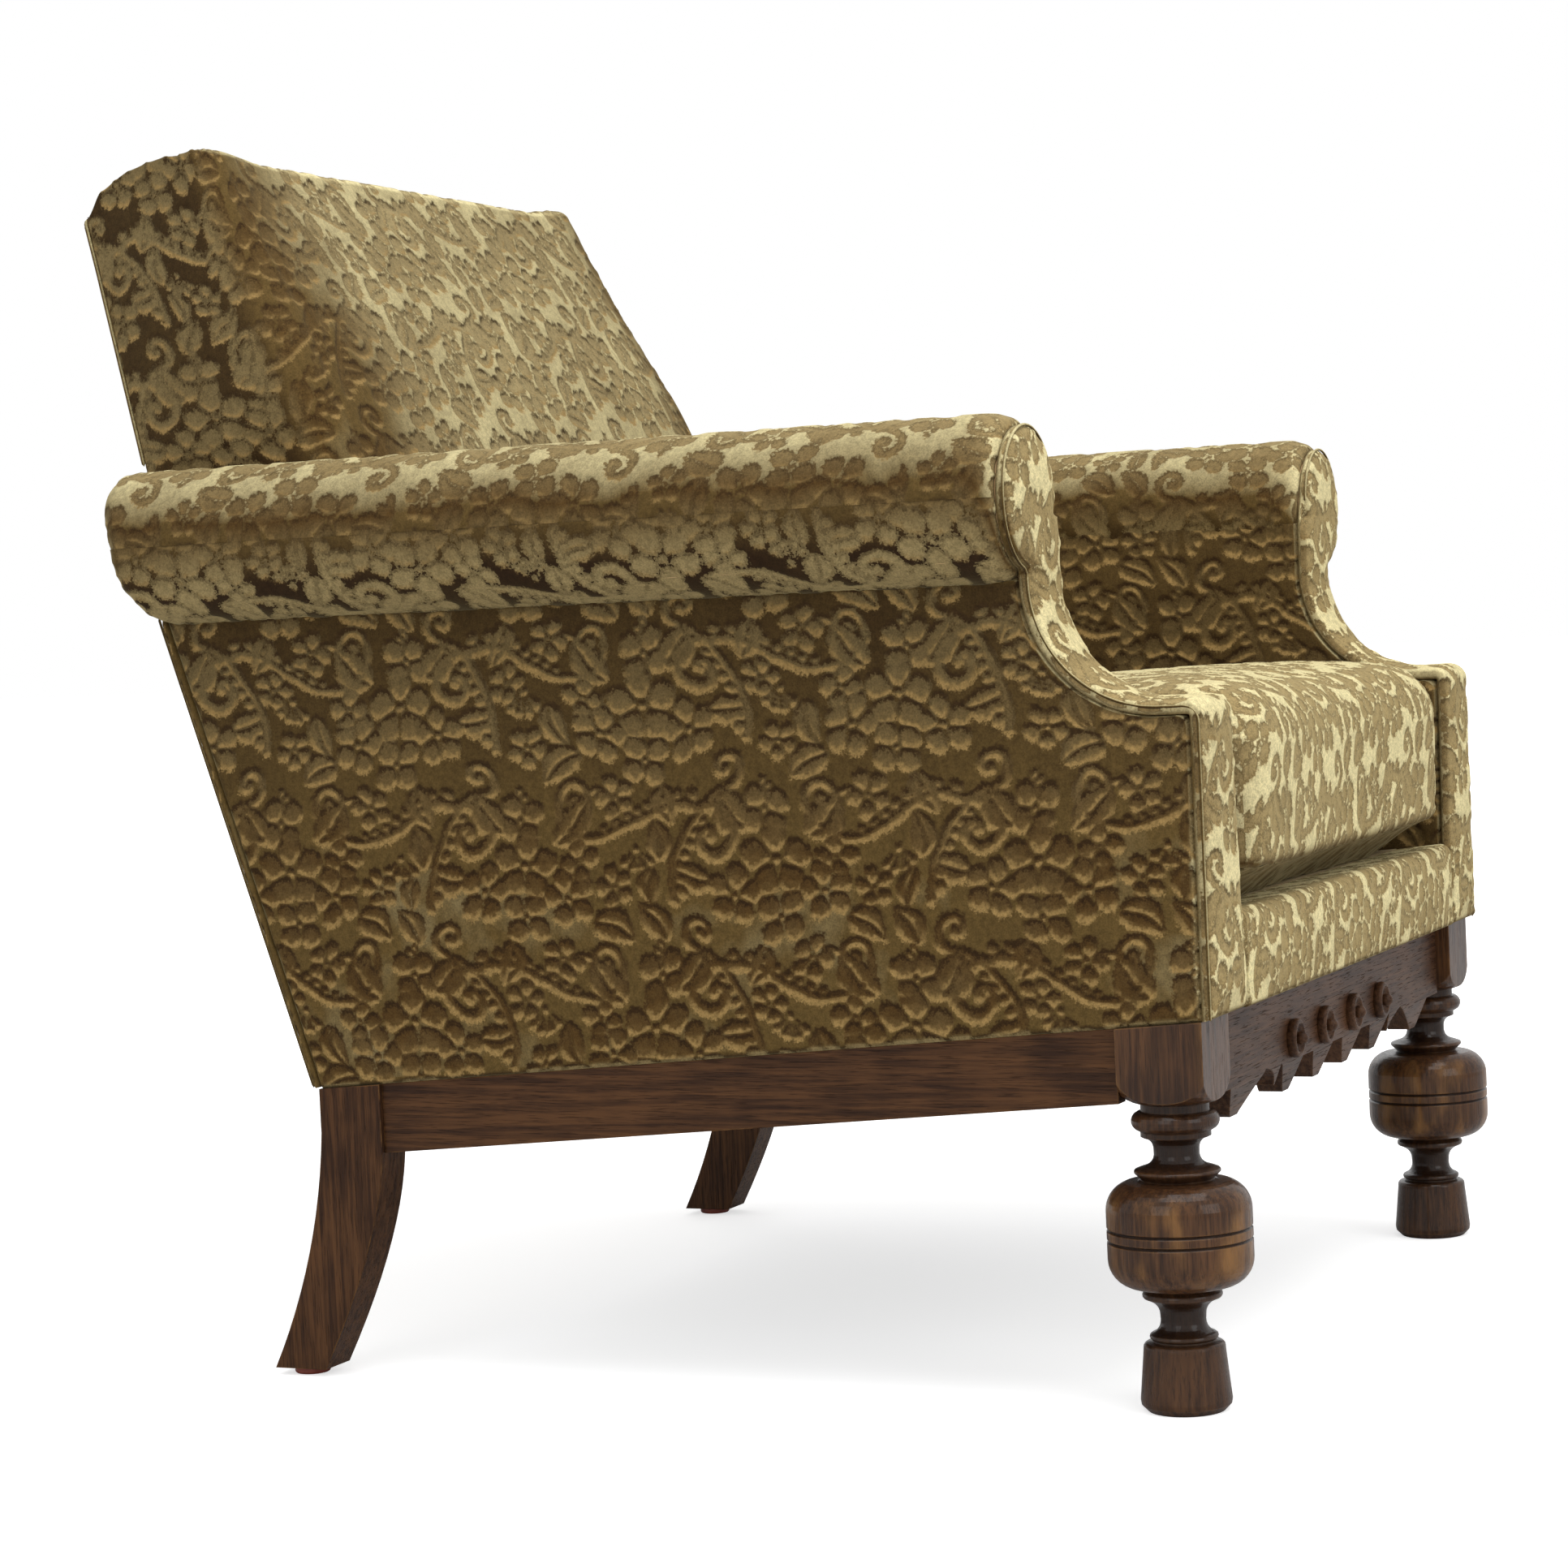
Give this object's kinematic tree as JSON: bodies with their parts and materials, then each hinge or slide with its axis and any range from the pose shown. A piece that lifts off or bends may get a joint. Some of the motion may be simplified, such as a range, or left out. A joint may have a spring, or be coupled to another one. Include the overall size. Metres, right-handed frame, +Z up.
{
  "type": "upholstered armchair",
  "caption": "Low upholstered easy chair with rolled arms, a raked back, a loose seat cushion, a carved apron, turned front legs and sabre rear legs.",
  "frame": {"origin": "middle of the chair's footprint box, on the floor", "axes": "+Z up, -Y the way a sitter faces, +X to the sitter's left"},
  "size_m": [0.761, 0.8316, 0.8319],
  "materials": {
    "oak": "stained oak, satin lacquer",
    "beech": "unfinished sawn beech",
    "velour": "embossed floral pile velour",
    "jute": "woven jute",
    "platform_cloth": "plain cotton over stuffing",
    "dust_cloth": "plain black cotton",
    "spring_steel": "drawn wire",
    "screw_steel": "plain",
    "glide": "moulded, worn"
  },
  "bodies": {
    "chair": {"front_leg_right": "oak", "front_leg_left": "oak", "rear_leg_right": "oak", "rear_leg_left": "oak", "rear_glide_right": "glide", "rear_glide_left": "glide", "side_rail_right": "oak", "side_rail_left": "oak", "front_apron": "oak", "front_rail": "beech", "back_rail": "oak", "rosette_1": "oak", "rosette_2": "oak", "rosette_3": "oak", "rosette_4": "oak", "corner_brace_front_right": "beech", "corner_brace_front_left": "beech", "corner_brace_rear_right": "beech", "corner_brace_rear_left": "beech", "brace_screws": "screw_steel", "seat_rail_right": "beech", "seat_rail_left": "beech", "seat_rail_front": "beech", "seat_rail_back": "beech", "arm_stump_right": "beech", "arm_stump_left": "beech", "arm_back_post_right": "beech", "arm_back_post_left": "beech", "arm_top_rail_right": "beech", "arm_top_rail_left": "beech", "scroll_board_right": "beech", "scroll_board_left": "beech", "back_post_right": "beech", "back_post_left": "beech", "back_top_rail": "beech", "back_tack_rail": "beech", "seat_webbing": "jute", "back_webbing": "jute", "bottom_cloth": "dust_cloth", "seat_springs": "spring_steel", "seat_hessian": "jute", "seat_deck": "platform_cloth", "seat_border": "velour", "side_panel_right": "velour", "side_panel_left": "velour", "arm_facing_right": "velour", "arm_facing_left": "velour", "arm_roll_right": "velour", "arm_roll_left": "velour", "inside_arm_right": "velour", "inside_arm_left": "velour", "back_pad": "velour", "outside_back": "velour"},
    "cushion": {"seat_cushion": "velour"}
  },
  "joints": [
    {"name": "cushion_lift", "type": "slide", "parent": "chair", "child": "cushion", "axis": [0, 0, 1], "range_m": [0, 0.36]}
  ]
}
